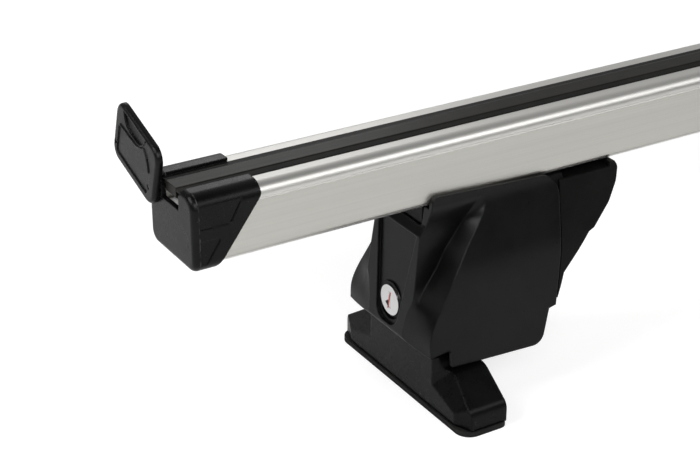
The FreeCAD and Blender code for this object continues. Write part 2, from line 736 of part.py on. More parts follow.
def cam_start():
    """Where the cam's plate begins, behind the core's shoulder."""
    return s.tower_start + 1.4 + s.core_length + s.seat_gap


def foot_middle():
    return s.foot_near + s.foot_width / 2


# Foot

def foot_base(side, word):
    thing = body("Foot" + word, word + "_foot_base")
    profile = sketch_on(thing, "FootSide", "YZ_Plane", s.foot_near)
    half, low, top = s.foot_half, s.pad_thickness, s.body_floor
    root = s.toe_root
    right = [(half, low), (half, low + 8.5, 5.0), (root, top - 4.7, 10.0), (root - 5.0, top - 4.9), (root - 7.0, top)]
    outline(profile, mirrored(right))
    feature(thing, "Pad", "FootPad", profile, s.foot_width)
    # each toe has a corner cut away in plan and its shoulder cut down in a facet
    near = s.foot_near
    corner = sketch_on(thing, "ToeCorners", "XY_Plane")
    for sign in (1, -1):
        cut = [(near - 1.0, sign * (half - 11.2)), (near + s.toe_chamfer, sign * (half + 1.5)),
               (near - 1.0, sign * (half + 1.5))]
        outline(corner, cut if sign < 0 else list(reversed(cut)))
    feature(thing, "Pocket", "ToeCornerCut", corner, 60.0, back=True)
    for sign, mark in ((1, "Far"), (-1, "Near")):
        facet(thing, sign, mark)
    drill = sketch_on(thing, "Fixing", "XY_Plane")
    circle(drill, foot_middle(), 0.0, s.fixing_radius)
    for y in screw_places():
        circle(drill, foot_middle(), y, s.screw_radius + s.thread_play)
    feature(thing, "Pocket", "FixingCut", drill, 60.0, back=True)
    place(thing, side)
    return thing


def facet(owner, sign, mark):
    """A sloping flat cut along the shoulder of one toe, which ends at an upright wall beside the block."""
    near, high = s.foot_near, s.body_floor + 30.0
    root = s.toe_root - 9.1
    slope, fall, slant = 2.206, 0.3237, 0.6885
    sketches = []
    for word, run in (("Root", 0.0), ("Tip", 28.0)):
        sketch = sketch_on(owner, "Facet" + mark + word, "XZ_Plane", -sign * (root + run))
        low, wall = s.body_floor - 13.7 - fall * run, slant * run
        outline(sketch, [(near - 2.0, low - 2.0 * slope), (near + wall, low + wall * slope), (near + wall, high),
                         (near - 2.0, high)])
        sketches.append(sketch)
    cut_loft(owner, "Facet" + mark, sketches, True)


def foot_pad(side, word):
    thing = body("Pad" + word, word + "_foot_pad")
    sole = sketch_on(thing, "SoleOutline", "XY_Plane")
    x0, x1, half = s.foot_near - s.pad_rim, s.foot_near + s.foot_width + s.pad_rim, s.foot_half + s.pad_rim
    outline(sole, [(x0, -half, 7.0), (x1, -half, 4.0), (x1, half, 4.0), (x0, half, 7.0)])
    feature(thing, "Pad", "SolePad", sole, s.pad_thickness)
    drill = sketch_on(thing, "Fixing", "XY_Plane")
    circle(drill, foot_middle(), 0.0, s.fixing_radius + 2.0)
    feature(thing, "Pocket", "FixingCut", drill, 60.0, back=True)
    place(thing, side)
    return thing


# Lock

def lock_sleeve(side, word):
    thing = body("Sleeve" + word, word + "_lock_sleeve")
    ring = sketch_on(thing, "SleeveRing", "YZ_Plane", s.tower_start + 3.3)
    circle(ring, 0.0, 0.0, s.lock_radius + s.sleeve_wall)
    circle(ring, 0.0, 0.0, s.lock_radius + 0.08)
    feature(thing, "Pad", "SleevePad", ring, s.sleeve_length)
    place(thing, side, 0.0, lock_axis())
    return thing


def lock_core(side, word):
    thing = body("Core" + word, word + "_lock_core")
    face = sketch_on(thing, "CoreFace", "YZ_Plane", s.tower_start + 2.5)
    circle(face, 0.0, 0.0, s.lock_radius)
    feature(thing, "Pad", "CorePad", face, s.core_length - 1.1)
    key = sketch_on(thing, "KeySlot", "YZ_Plane", s.tower_start + 1.0)
    outline(key, [(-0.9, -3.8), (0.9, -3.8), (0.9, 3.8), (-0.9, 3.8)])
    feature(thing, "Pocket", "KeyCut", key, 12.0, back=True)
    square = sketch_on(thing, "CoreSquare", "YZ_Plane", s.tower_start + 1.4 + s.core_length)
    outline(square, [(-2.5, -2.5), (2.5, -2.5), (2.5, 2.5), (-2.5, 2.5)])
    feature(thing, "Pad", "SquarePad", square, 2.2)
    place(thing, side, 0.0, lock_axis())
    return thing


def lock_cam(side, word):
    thing = body("Cam" + word, word + "_lock_cam")
    plate = sketch_on(thing, "CamOutline", "YZ_Plane", cam_start())
    outline(plate, [(-4.0, -s.cam_reach, 1.5), (4.0, -s.cam_reach, 1.5), (5.0, 5.0, 3.0), (-5.0, 5.0, 3.0)])
    outline(plate, [(-2.55, -2.55), (2.55, -2.55), (2.55, 2.55), (-2.55, 2.55)])
    feature(thing, "Pad", "CamPad", plate, 2.0)
    place(thing, side, 0.0, lock_axis())
    return thing


# Fasteners

def clamp_plate(side, word):
    thing = body("Plate" + word, word + "_clamp_plate")
    base = s.bar_underside + s.channel_lip + 0.02
    flat = sketch_on(thing, "PlateOutline", "XY_Plane", base)
    middle = (bolt_places()[0] + bolt_places()[1]) / 2
    a, b, w = middle - s.plate_length / 2, middle + s.plate_length / 2, s.plate_width / 2
    outline(flat, [(a, -w, 1.5), (b, -w, 1.5), (b, w, 1.5), (a, w, 1.5)])
    for x in bolt_places():
        circle(flat, x, 0.0, s.bolt_radius + 0.03)
    feature(thing, "Pad", "PlatePad", flat, s.plate_thickness)
    place(thing, side)
    return thing


def clamp_bolts(side, word):
    """Two socket head bolts, from under the saddle up into the plate."""
    under = s.bar_underside - s.saddle
    pieces = []
    for index, x in enumerate(bolt_places()):
        one = body("Bolt" + word + str(index), "Bolt" + word + str(index))
        head = sketch_on(one, "Head", "XY_Plane", under - 9.6)
        circle(head, x, 0.0, s.head_radius)
        feature(one, "Pad", "HeadPad", head, 8.0)
        shank = sketch_on(one, "Shank", "XY_Plane", under - 2.0)
        circle(shank, x, 0.0, s.bolt_radius)
        feature(one, "Pad", "ShankPad", shank, s.saddle + s.channel_lip + s.plate_thickness + 3.0)
        socket = sketch_on(one, "Socket", "XY_Plane", under - 9.6)
        outline(socket, [(x + 3.46 * math.cos(math.radians(a)), 3.46 * math.sin(math.radians(a)))
                         for a in range(0, 360, 60)])
        feature(one, "Pocket", "SocketCut", socket, 4.5, back=True)
        pieces.append(one)
    thing = doc.addObject("Part::Compound", "Bolts" + word)
    thing.Links = pieces
    thing.Label = word + "_clamp_bolts"
    place(thing, side)
    return thing


def clamp_washers(side, word):
    under = s.bar_underside - s.saddle
    thing = doc.addObject("Part::Compound", "Washers" + word)
    pieces = []
    for index, x in enumerate(bolt_places()):
        one = body("Washer" + word + str(index), "Washer" + word + str(index))
        ring = sketch_on(one, "Ring", "XY_Plane", under - 1.58)
        circle(ring, x, 0.0, 8.0)
        circle(ring, x, 0.0, s.bolt_radius + 0.2)
        feature(one, "Pad", "RingPad", ring, 1.55)
        pieces.append(one)
    thing.Links = pieces
    thing.Label = word + "_clamp_washers"
    place(thing, side)
    return thing


def foot_screws(side, word):
    pieces = []
    for index, y in enumerate(screw_places()):
        one = body("FootScrew" + word + str(index), "FootScrew" + word + str(index))
        x = foot_middle()
        shank = sketch_on(one, "Shank", "XY_Plane", s.body_floor - 20.0)
        circle(shank, x, y, s.screw_radius)
        feature(one, "Pad", "ShankPad", shank, 20.0 + s.floor_plate + 1.0)
        head = sketch_on(one, "Head", "XY_Plane", floor_top + 0.02)
        circle(head, x, y, 5.0)
        feature(one, "Pad", "HeadPad", head, 5.0)
        pieces.append(one)
    thing = doc.addObject("Part::Compound", "FootScrews" + word)
    thing.Links = pieces
    thing.Label = word + "_foot_screws"
    place(thing, side)
    return thing


def build():
    nodes = [bar_profile(), slot_strip()]
    for side, word in SIDES:
        nodes.append(end_cap(side, word))
        nodes.append(cap_flap(side, word, -s.flap_open.number if side < 0 else 0.0))
        nodes.append(tower_cover(side, word))
        nodes.append(tower_body(side, word))
        nodes.append(foot_base(side, word))
        nodes.append(foot_pad(side, word))
        nodes.append(lock_sleeve(side, word))
        nodes.append(lock_core(side, word))
        nodes.append(lock_cam(side, word))
        nodes.append(clamp_plate(side, word))
        nodes.append(clamp_bolts(side, word))
        nodes.append(clamp_washers(side, word))
        nodes.append(foot_screws(side, word))
    return nodes


def check(nodes):
    for thing in doc.Objects:
        if "Invalid" in thing.State or "Error" in thing.State:
            raise ValueError(thing.Label + " is " + str(thing.State))
    for node in nodes:
        if node.Shape.isNull() or not node.Shape.isValid():
            raise ValueError(node.Label + " has no valid shape")


nodes = build()
doc.recompute()
check(nodes)
os.makedirs("parts", exist_ok=True)
for node in nodes:
    node.Shape.exportStep(os.path.join("parts", node.Label + ".step"))
    print(node.Label, len(node.Shape.Solids), "solids", round(node.Shape.Volume / 1000, 2), "cm3")
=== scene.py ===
import math
import bpy
from mathutils import Matrix, Vector


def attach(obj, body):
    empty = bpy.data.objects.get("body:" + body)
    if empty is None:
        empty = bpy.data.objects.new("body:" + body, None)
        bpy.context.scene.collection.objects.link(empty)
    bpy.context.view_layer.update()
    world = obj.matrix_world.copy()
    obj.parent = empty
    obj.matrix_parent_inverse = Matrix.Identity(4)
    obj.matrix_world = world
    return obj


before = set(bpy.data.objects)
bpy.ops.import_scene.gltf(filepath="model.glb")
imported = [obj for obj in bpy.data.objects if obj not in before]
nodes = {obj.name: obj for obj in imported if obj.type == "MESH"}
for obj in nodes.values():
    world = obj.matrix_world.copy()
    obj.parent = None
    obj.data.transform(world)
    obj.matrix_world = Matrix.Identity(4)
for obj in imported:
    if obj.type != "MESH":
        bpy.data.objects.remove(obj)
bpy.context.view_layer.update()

ends = {"left": 1, "right": -1}  # each end and its sign along the bar


# Shaders: a Wire is a socket that can be used in sums, and a Graph makes the nodes

class Wire:
    def __init__(self, graph, socket):
        self.graph = graph
        self.socket = socket

    def sum(self, operation, *terms):
        return self.graph.node("ShaderNodeMath", {"operation": operation}, dict(enumerate(terms)))

    def __add__(self, other):
        return self.sum("ADD", self, other)

    def __radd__(self, other):
        return self.sum("ADD", other, self)

    def __sub__(self, other):
        return self.sum("SUBTRACT", self, other)

    def __rsub__(self, other):
        return self.sum("SUBTRACT", other, self)

    def __mul__(self, other):
        return self.sum("MULTIPLY", self, other)

    def __rmul__(self, other):
        return self.sum("MULTIPLY", other, self)

    def __abs__(self):
        return self.sum("ABSOLUTE", self)


class Graph:
    def __init__(self, tree):
        self.tree = tree

    def feed(self, socket, value):
        if isinstance(value, Wire):
            self.tree.links.new(value.socket, socket)
        else:
            socket.default_value = value

    def setStops(self, elements, stops):
        for index, (place, grey) in enumerate(stops):
            stop = elements[index] if index < len(elements) else elements.new(place)
            stop.position = place
            stop.color = (grey, grey, grey, 1)

    def node(self, kind, settings=None, inputs=None, output=0):
        made = self.tree.nodes.new(kind)
        for key, value in (settings or {}).items():
            if key == "stops":
                self.setStops(made.color_ramp.elements, value)
            else:
                setattr(made, key, value)
        for key, value in (inputs or {}).items():
            self.feed(made.inputs[key], value)
        return Wire(self, made.outputs[output])


class Look(Graph):
    def __init__(self, name, fixed):
        self.material = bpy.data.materials.new(name)
        self.material.use_nodes = True
        super().__init__(self.material.node_tree)
        self.shader = self.tree.nodes["Principled BSDF"]
        for socket, value in fixed.items():
            self.shader.inputs[socket].default_value = value

    def place(self, stretch=(1, 1, 1)):
        spot = self.node("ShaderNodeTexCoord", None, None, "Object")
        return self.node("ShaderNodeMapping", None, {"Vector": spot, "Scale": stretch})

    def along(self, axis, vector=None):  # how far a point lies along an axis, or how far a vector goes
        return self.node("ShaderNodeSeparateXYZ", None, {0: vector or self.place()}, axis)

    def noise(self, scale, detail, stretch=(1, 1, 1), roughness=0.5):
        inputs = {"Vector": self.place(stretch), "Scale": scale, "Detail": detail, "Roughness": roughness}
        return self.node("ShaderNodeTexNoise", None, inputs)

    def ramp(self, value, *stops, span=1.0):  # the stops are in the value's own unit, from 0 to the span
        if span != 1.0:
            value = value * (1 / span)
        return self.node("ShaderNodeValToRGB", {"stops": [(at / span, grey) for at, grey in stops]}, {0: value})

    def rise(self, value, start, end, span=1.0):
        return self.ramp(value, (start, 0), (end, 1), span=span)

    def fall(self, value, start, end, span=1.0):
        return self.ramp(value, (start, 1), (end, 0), span=span)

    def blend(self, factor, first, second):
        first, second = (c if isinstance(c, Wire) else c + (1,) for c in (first, second))
        return self.node("ShaderNodeMix", {"data_type": "RGBA"}, {0: factor, 6: first, 7: second}, 2)

    def finish(self, colour, roughness, height, depth, bump, rounding=None):
        self.feed(self.shader.inputs["Base Color"], colour)
        self.feed(self.shader.inputs["Roughness"], roughness)
        inputs = {"Height": height, "Distance": depth, "Strength": bump}
        if rounding:  # how far the sharp edges of the solid are softened
            inputs["Normal"] = self.node("ShaderNodeBevel", {"samples": 4}, {"Radius": rounding})
        self.feed(self.shader.inputs["Normal"], self.node("ShaderNodeBump", None, inputs))
        return self.material

    def cover(self, factor, upper):  # lays a second shader over the first where the factor is 1
        inputs = {0: factor, 1: Wire(self, self.shader.outputs[0]), 2: upper}
        shown = self.node("ShaderNodeMixShader", None, inputs)
        self.feed(self.tree.nodes["Material Output"].inputs["Surface"], shown)


# Finishes, in metres. Each value named Half or Start is a pair: where its fade begins and where it ends

plasticTone = {
    "dark": (0.0018, 0.0018, 0.0019), "pale": (0.0034, 0.0034, 0.0035), "shine": 0.2,
    "cloud": 45, "grain": 2300, "rub": 160, "relief": {"depth": 0.000045, "bump": 0.8},
    "seamColour": (0.06, 0.06, 0.058), "seamHalf": (0.0001, 0.0003), "seamBreaks": 420, "seamRaised": 3,
}
plastics = {
    "cap": {"tone": 1.1, "rough": 0.17, "rounding": 0.0009, "grain": 0.8, "shine": 0.88, "seam": 0.5993},
    "flap": {"tone": 1.1, "rough": 0.17, "rounding": 0.0008},
    "cover": {"tone": 1.0, "rough": 0.2, "rounding": 0.0009},
    "foot": {"tone": 0.9, "rough": 0.17, "rounding": 0.0016, "shine": 0.72},
    "sleeve": {"tone": 0.7, "rough": 0.35, "rounding": 0.0002, "grain": 2.0},
    "mark": {"tone": 14, "rough": 0.3, "rounding": 0.0001, "grain": 2.0},
}


def mouldedPlastic(name, tone, rough, rounding, grain=1.0, shine=1.0, seam=None):
    look = Look(name, {"Specular IOR Level": shine * plasticTone["shine"]})
    cloud = look.rise(look.noise(plasticTone["cloud"], 4), 0.35, 0.65)
    dark, pale = (tuple(tone * c for c in plasticTone[key]) for key in ("dark", "pale"))
    colour = look.blend(cloud, dark, pale)
    speck = look.noise(plasticTone["grain"] * grain, 3, roughness=0.6)
    rub = look.noise(plasticTone["rub"], 5)
    height = speck
    if seam:  # a fine broken mould line round the part, this far from the middle of the bar
        line = look.fall(abs(abs(look.along("X")) - seam), *plasticTone["seamHalf"], span=0.001)
        line = line * look.rise(look.noise(plasticTone["seamBreaks"], 3), 0.42, 0.6)
        colour = look.blend(line, colour, plasticTone["seamColour"])
        height = speck + plasticTone["seamRaised"] * line
    roughness = rough + 0.16 * rub + 0.06 * speck
    return look.finish(colour, roughness, height, rounding=rounding, **plasticTone["relief"])


aluminiumTone = {
    "dark": (0.58, 0.572, 0.532), "pale": (0.66, 0.650, 0.606), "rough": 0.3,
    "streak": 1500, "broad": 220, "fleck": 900, "relief": {"depth": 0.00003, "bump": 0.6, "rounding": 0.0003},
    "edges": (0.0972, 0.1184), "edgeFade": 0.0004, "highlightColour": (0.80, 0.79, 0.76),  # the heights above and below which the bar's edges are painted paler, a painted highlight
    "lineHalf": (0.0001, 0.0003), "grooveShadeColour": (0.46, 0.455, 0.43), "lineCut": 3,
}
# a pale dull finish for the sawn end faces, also used as painted light on the slot's inside near its mouth
sawnAndLitTone = {
    "dark": (0.80, 0.80, 0.78), "pale": (0.92, 0.92, 0.9), "rough": 0.4, "marks": 2400,
    "litMouthStart": (0.5915, 0.5925), "litMouthHalf": (0.0080, 0.0084),
}


def extrudedAluminium(name):
    look = Look(name, {"Metallic": 1.0})
    streak = look.noise(aluminiumTone["streak"], 3, (0.004, 1, 1))
    broad = look.noise(aluminiumTone["broad"], 2, (0.006, 1, 1))
    fleck = look.noise(aluminiumTone["fleck"], 3)
    tone = look.rise(0.6 * streak + 0.4 * broad, 0.3, 0.7)
    height = look.along("Z")
    low, high = aluminiumTone["edges"]
    fade = aluminiumTone["edgeFade"]
    # painted highlight: above and below these heights the bar's top and bottom edges are painted paler
    edges = look.ramp(height, (low - fade, 1), (low, 0), (high, 0), (high + fade, 1), span=0.125)
    half, out = aluminiumTone["lineHalf"]
    # a fine groove at the lower height: cut into the relief, and painted darker as painted shade in the groove
    line = look.ramp(height, (low - out, 0), (low - half, 1), (low + half, 1), (low + out, 0), span=0.125)
    colour = look.blend(tone, aluminiumTone["dark"], aluminiumTone["pale"])
    colour = look.blend(edges, colour, aluminiumTone["highlightColour"])
    colour = look.blend(line, colour, aluminiumTone["grooveShadeColour"])
    made = look.finish(colour, aluminiumTone["rough"] + 0.14 * streak + 0.06 * fleck,
                       streak + 0.3 * fleck - aluminiumTone["lineCut"] * line, **aluminiumTone["relief"])
    normal = look.node("ShaderNodeNewGeometry", None, None, "True Normal")
    face = look.rise(abs(look.along("X", normal)), 0.9, 0.95)  # the sawn end faces are pale and dull
    litMouth = look.rise(abs(look.along("X")), *sawnAndLitTone["litMouthStart"])  # the slot's inside near its mouth gets the same pale dull finish as painted light falling in, deeper in it keeps the metal
    litMouth = litMouth * look.fall(abs(look.along("Y")), *sawnAndLitTone["litMouthHalf"], span=0.01)
    marks = look.rise(look.noise(sawnAndLitTone["marks"], 2, (1, 0.06, 1)), 0.3, 0.7)
    colour = look.blend(marks, sawnAndLitTone["dark"], sawnAndLitTone["pale"])
    dull = look.node("ShaderNodeBsdfPrincipled", None,
                     {"Base Color": colour, "Roughness": sawnAndLitTone["rough"] + 0.2 * marks})
    look.cover(look.node("ShaderNodeMath", {"operation": "MAXIMUM"}, {0: face, 1: litMouth}), dull)
    return made


soleTone = {
    "dark": (0.008, 0.008, 0.00784), "pale": (0.0208, 0.0204, 0.0192), "shine": 0.2, "rough": 0.62,
    "dust": 70, "bloom": 1600, "relief": {"depth": 0.00005, "bump": 0.7, "rounding": 0.0004},
}


def soleRubber(name):
    look = Look(name, {"Specular IOR Level": soleTone["shine"]})
    dust = look.rise(look.noise(soleTone["dust"], 5, roughness=0.65), 0.4, 0.75)
    bloom = look.noise(soleTone["bloom"], 3)
    colour = look.blend(dust, soleTone["dark"], soleTone["pale"])
    return look.finish(colour, soleTone["rough"] + 0.2 * bloom, bloom, **soleTone["relief"])


stripTone = {
    "dark": (0.005, 0.0047, 0.0040), "pale": (0.015, 0.0138, 0.0115), "shine": 0.1, "rough": 0.40,
    "crownAndSheenHalf": (0.0042, 0.0052), "dust": 80, "drawn": 900,
    "relief": {"depth": 0.0004, "bump": 0.7, "rounding": 0.0004},
}


def ribbedStrip(name):
    look = Look(name, {"Specular IOR Level": stripTone["shine"]})
    crownAndSheen = look.fall(abs(look.along("Y")), *stripTone["crownAndSheenHalf"], span=0.01)  # the strip's raised middle, also painted paler as a painted sheen, with darker sides
    drawn = look.noise(stripTone["drawn"], 3, (0.01, 1, 1))
    dust = look.rise(look.noise(stripTone["dust"], 5, roughness=0.65), 0.4, 0.75)
    colour = look.blend(0.5 * dust + 0.5 * crownAndSheen, stripTone["dark"], stripTone["pale"])
    return look.finish(colour, stripTone["rough"] - 0.14 * crownAndSheen + 0.1 * drawn, crownAndSheen + 0.08 * drawn,
                       **stripTone["relief"])


paintTone = {
    "dark": (0.0030, 0.0030, 0.0029), "pale": (0.0052, 0.0052, 0.0051), "shine": 0.12, "rough": 0.36,
    "cast": 700, "worn": 60, "relief": {"depth": 0.00012, "bump": 0.7, "rounding": 0.0006},
}


def satinPaint(name):
    look = Look(name, {"Specular IOR Level": paintTone["shine"]})
    cast = look.noise(paintTone["cast"], 4, roughness=0.6)
    worn = look.rise(look.noise(paintTone["worn"], 5), 0.45, 0.7)
    colour = look.blend(worn, paintTone["dark"], paintTone["pale"])
    return look.finish(colour, paintTone["rough"] + 0.18 * cast, cast, **paintTone["relief"])


chromeTone = {
    "dark": (0.78, 0.78, 0.77), "pale": (0.86, 0.86, 0.86), "rough": 0.07,
    "scratch": 2600, "smear": 240, "relief": {"depth": 0.000008, "bump": 0.5, "rounding": 0.0002},
}


def polishedChrome(name):
    look = Look(name, {"Metallic": 1.0})
    scratch = look.noise(chromeTone["scratch"], 2, (1, 0.05, 1))
    smear = look.noise(chromeTone["smear"], 4)
    colour = look.blend(smear, chromeTone["dark"], chromeTone["pale"])
    return look.finish(colour, chromeTone["rough"] + 0.12 * smear, scratch, **chromeTone["relief"])


zincTone = {
    "dark": (0.46, 0.45, 0.42), "pale": (0.6, 0.6, 0.58), "rough": 0.3,
    "crystal": 420, "turned": 3200, "relief": {"depth": 0.00002, "bump": 0.6, "rounding": 0.0003},
}


def zincSteel(name):
    look = Look(name, {"Metallic": 1.0})
    crystal = look.noise(zincTone["crystal"], 4, roughness=0.6)
    turned = look.noise(zincTone["turned"], 2, (1, 1, 0.1))
    colour = look.blend(look.rise(crystal, 0.35, 0.65), zincTone["dark"], zincTone["pale"])
    return look.finish(colour, zincTone["rough"] + 0.2 * crystal, turned, **zincTone["relief"])


markTone = {
    "dark": (0.42, 0.035, 0.02), "pale": (0.55, 0.05, 0.03), "rough": 0.45,
    "cloud": 900, "grain": 3000, "relief": {"depth": 0.00002, "bump": 0.5},
}


def markPaint(name):
    look = Look(name, {})
    colour = look.blend(look.noise(markTone["cloud"], 3), markTone["dark"], markTone["pale"])
    return look.finish(colour, markTone["rough"], look.noise(markTone["grain"], 2), **markTone["relief"])


plastic = {kind: mouldedPlastic(kind + "Plastic", **values) for kind, values in plastics.items()}
zinc = zincSteel("zincSteel")
finishes = {
    "bar_profile": extrudedAluminium("barAluminium"),
    "slot_strip": ribbedStrip("stripRubber"),
    "end_cap": plastic["cap"],
    "cap_flap": plastic["flap"],
    "tower_cover": plastic["cover"],
    "tower_body": satinPaint("bodyPaint"),
    "foot_base": plastic["foot"],
    "foot_pad": soleRubber("soleRubber"),
    "lock_sleeve": plastic["sleeve"],
    "lock_core": polishedChrome("lockChrome"),
    "lock_cam": zinc,
    "clamp_plate": zinc,
    "clamp_bolts": zinc,
    "clamp_washers": zinc,
    "foot_screws": zinc,
}
for name, node in nodes.items():
    kind = name.removeprefix("left_").removeprefix("right_")
    node.material_slots[0].material = finishes[kind]
print("finishes: on", len(nodes), "nodes")


# Moulded relief and small parts, in millimetres in from the cap's face, across and up from the ground

capFace = 602  # from the middle of the bar to the face of an end cap
smoothAngle = 40  # degrees: edges that turn by more stay sharp
halfTurn = {"left": 0, "right": math.pi}


def mill(millimetres):
    return millimetres * 0.001


def atEnd(point, side):  # the right end is the left end turned half a turn about the vertical
    x, y, z = point
    return (ends[side] * mill(x - capFace), ends[side] * mill(y), mill(z))


def soften(piece, width, segments=1):
    rounding = piece.modifiers.new("rounding", "BEVEL")
    rounding.width = mill(width)
    rounding.segments = segments
    bpy.ops.object.modifier_apply(modifier="rounding")


def settle(piece, material, body):
    piece.data.materials.clear()
    piece.data.materials.append(material)
    bpy.ops.object.shade_smooth_by_angle(angle=math.radians(smoothAngle))
    bpy.ops.object.transform_apply(location=True, rotation=True, scale=True)
    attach(piece, body)


flapRelief = {
    "openEnd": "left", "open": 162, "pivot": (13.4, 118.1),  # degrees open, and the flap's pin
    "face": -3.0, "base": 94.9,
    "ridge": [(-14.6, 11.6), (-6, 11.4), (0.6, 10.9), (4.0, 9.4), (6.6, 7.7), (9.0, 9.3), (11.0, 12.0),
              (12.6, 15.2)],
    "ridgeRadius": 0.62,
    "rim": [(-12.6, 3.7), (-11.2, 6.4), (-9.0, 8.6), (-6.2, 9.5), (-1.0, 9.4), (3.4, 8.8), (5.6, 7.0),
            (7.2, 3.7)],
    "rimRadius": 0.4, "rimProud": 0.05, "beadSteps": 3,
    "dishAt": (-2.7, 3.6), "dishSize": (1.15, 9.9, 5.7), "dishProud": 0.06, "dishWall": 0.08,
    "dishSteps": (48, 24),
}


def onFlap(points, proud, side):  # points on the flap's face, swung open with it at the open end
    pin = Vector((0, *flapRelief["pivot"]))
    angle = -flapRelief["open"] if side == flapRelief["openEnd"] else 0
    swing = Matrix.Rotation(math.radians(angle), 3, "X")
    shut = [Vector((flapRelief["face"] - proud, y, flapRelief["base"] + z)) for y, z in points]
    return [atEnd(swing @ (point - pin) + pin, side) for point in shut]


def bead(name, points, radius):  # an edge is drawn through the points, and made thick as a curve
    bpy.ops.object.select_all(action="DESELECT")
    bpy.ops.mesh.primitive_plane_add(size=mill(1), location=(0, 0, 0))
    bpy.context.object.name = name
    bpy.ops.object.mode_set(mode="EDIT")
    bpy.ops.mesh.select_all(action="SELECT")
    bpy.ops.mesh.merge(type="CENTER")
    bpy.ops.transform.translate(value=points[0])
    for here, there in zip(points, points[1:]):
        bpy.ops.mesh.extrude_region_move(TRANSFORM_OT_translate={"value": Vector(there) - Vector(here)})
    bpy.ops.object.mode_set(mode="OBJECT")
    bpy.ops.object.convert(target="CURVE")
    curve = bpy.context.object.data
    curve.bevel_depth = mill(radius)
    curve.bevel_resolution = flapRelief["beadSteps"]
    curve.use_fill_caps = True
    bpy.ops.object.convert(target="MESH")
    return bpy.context.object


def scoopDish(name, side):  # a thin bowl: the inner upper quarter of a flattened ball
    bpy.ops.object.select_all(action="DESELECT")
    around, down = flapRelief["dishSteps"]
    bpy.ops.mesh.primitive_uv_sphere_add(segments=around, ring_count=down, radius=mill(1))
    dish = bpy.context.object
    dish.name = name
    dish.scale = flapRelief["dishSize"]
    bpy.ops.object.transform_apply(location=False, rotation=False, scale=True)
    bpy.ops.object.mode_set(mode="EDIT")
    for outwards in ((-1, 0, 0), (0, 0, -1)):
        bpy.ops.mesh.select_all(action="SELECT")
        bpy.ops.mesh.bisect(plane_co=(0, 0, 0), plane_no=outwards, clear_outer=True)
    bpy.ops.mesh.select_all(action="SELECT")
    bpy.ops.mesh.remove_doubles(threshold=mill(0.001))
    bpy.ops.mesh.flip_normals()
    bpy.ops.object.mode_set(mode="OBJECT")
    wall = dish.modifiers.new("wall", "SOLIDIFY")
    wall.thickness = mill(flapRelief["dishWall"])
    wall.offset = -1
    bpy.ops.object.modifier_apply(modifier="wall")
    y, z = flapRelief["dishAt"]
    dish.location = atEnd((flapRelief["face"] - flapRelief["dishProud"], y, flapRelief["base"] + z), side)
    dish.rotation_euler = (0, 0, halfTurn[side])
    bpy.ops.object.transform_apply(location=True, rotation=True, scale=True)
    if side == flapRelief["openEnd"]:
        bpy.ops.transform.rotate(value=math.radians(flapRelief["open"]), orient_axis="X",
                                 center_override=atEnd((0, *flapRelief["pivot"]), side))
    return dish


for side in ends:
    ridge = bead(side + "_flap_ridge", onFlap(flapRelief["ridge"], 0, side), flapRelief["ridgeRadius"])
    settle(ridge, plastic["flap"], side + "_flap")
    rim = onFlap(flapRelief["rim"], flapRelief["rimProud"], side)
    rim = bead(side + "_flap_scoop_rim", rim, flapRelief["rimRadius"])
    settle(rim, plastic["flap"], side + "_flap")
    settle(scoopDish(side + "_flap_scoop_dish", side), plastic["flap"], side + "_flap")
print("flap relief: ridge and scoop")


lockMarks = {
    "face": 101.7, "height": 45.4, "proud": 0.03, "round": 0.03,  # the lock's face and the height of its axis
    "shutterHalf": (0.85, 3.72), "shutterDepth": (0.02, 1.4), "shutterRound": 0.1,
    "stripeAt": (0.3, -0.3), "stripeHalf": (0.45, 4.3), "stripeDepth": 0.3, "stripeLean": 13,
    "wedgeAt": (1.75, -2.0), "wedgeSize": (1.5, 2.1), "wedgeDepth": 0.3,
}
lockRed = markPaint("lockMarkRed")


def block(name, middle, half, depths, rounding, side):  # a soft-edged block between two depths
    bpy.ops.object.select_all(action="DESELECT")
    first, last = (Vector(atEnd((depth, middle[0] + way * half[0], middle[1] + way * half[1]), side))
                   for depth, way in zip(depths, (-1, 1)))
    bpy.ops.mesh.primitive_cube_add(size=1, location=(first + last) / 2)
    piece = bpy.context.object
    piece.name = name
    piece.scale = [abs(c) for c in last - first]
    bpy.ops.object.transform_apply(location=True, rotation=True, scale=True)
    soften(piece, rounding, 2)
    return piece


for side in ends:
    face, tall = lockMarks["face"], lockMarks["height"]
    outer = face - lockMarks["proud"]
    depths = [face + depth for depth in lockMarks["shutterDepth"]]
    shutter = block(side + "_key_shutter", (0, tall), lockMarks["shutterHalf"], depths,
                    lockMarks["shutterRound"], side)
    settle(shutter, finishes["lock_core"], side + "_lock")
    y, z = lockMarks["stripeAt"]
    depths = (outer, face + lockMarks["stripeDepth"])
    stripe = block(side + "_lock_stripe", (y, tall + z), lockMarks["stripeHalf"], depths,
                   lockMarks["round"], side)
    bpy.ops.transform.rotate(value=-ends[side] * math.radians(lockMarks["stripeLean"]), orient_axis="X",
                             center_override=atEnd((face, y, tall + z), side))
    settle(stripe, lockRed, side + "_lock")
    # a dark triangular plate on the lock's face: painted shade where the keyway's opening lies in shade
    y, z = lockMarks["wedgeAt"]
    bpy.ops.object.select_all(action="DESELECT")
    spot = atEnd((outer + lockMarks["wedgeDepth"] / 2, y, tall + z), side)
    bpy.ops.mesh.primitive_cylinder_add(vertices=3, radius=mill(1), depth=mill(lockMarks["wedgeDepth"]),
                                        location=spot, rotation=(0, math.radians(90), halfTurn[side]))
    wedge = bpy.context.object
    wedge.name = side + "_key_shade_wedge"
    bpy.ops.object.transform_apply(location=False, rotation=True, scale=False)
    wedge.scale = (1, *lockMarks["wedgeSize"])
    bpy.ops.object.transform_apply(location=True, rotation=True, scale=True)
    soften(wedge, lockMarks["round"])
    settle(wedge, plastic["sleeve"], side + "_lock")
print("locks: shutters, stripes and wedges")


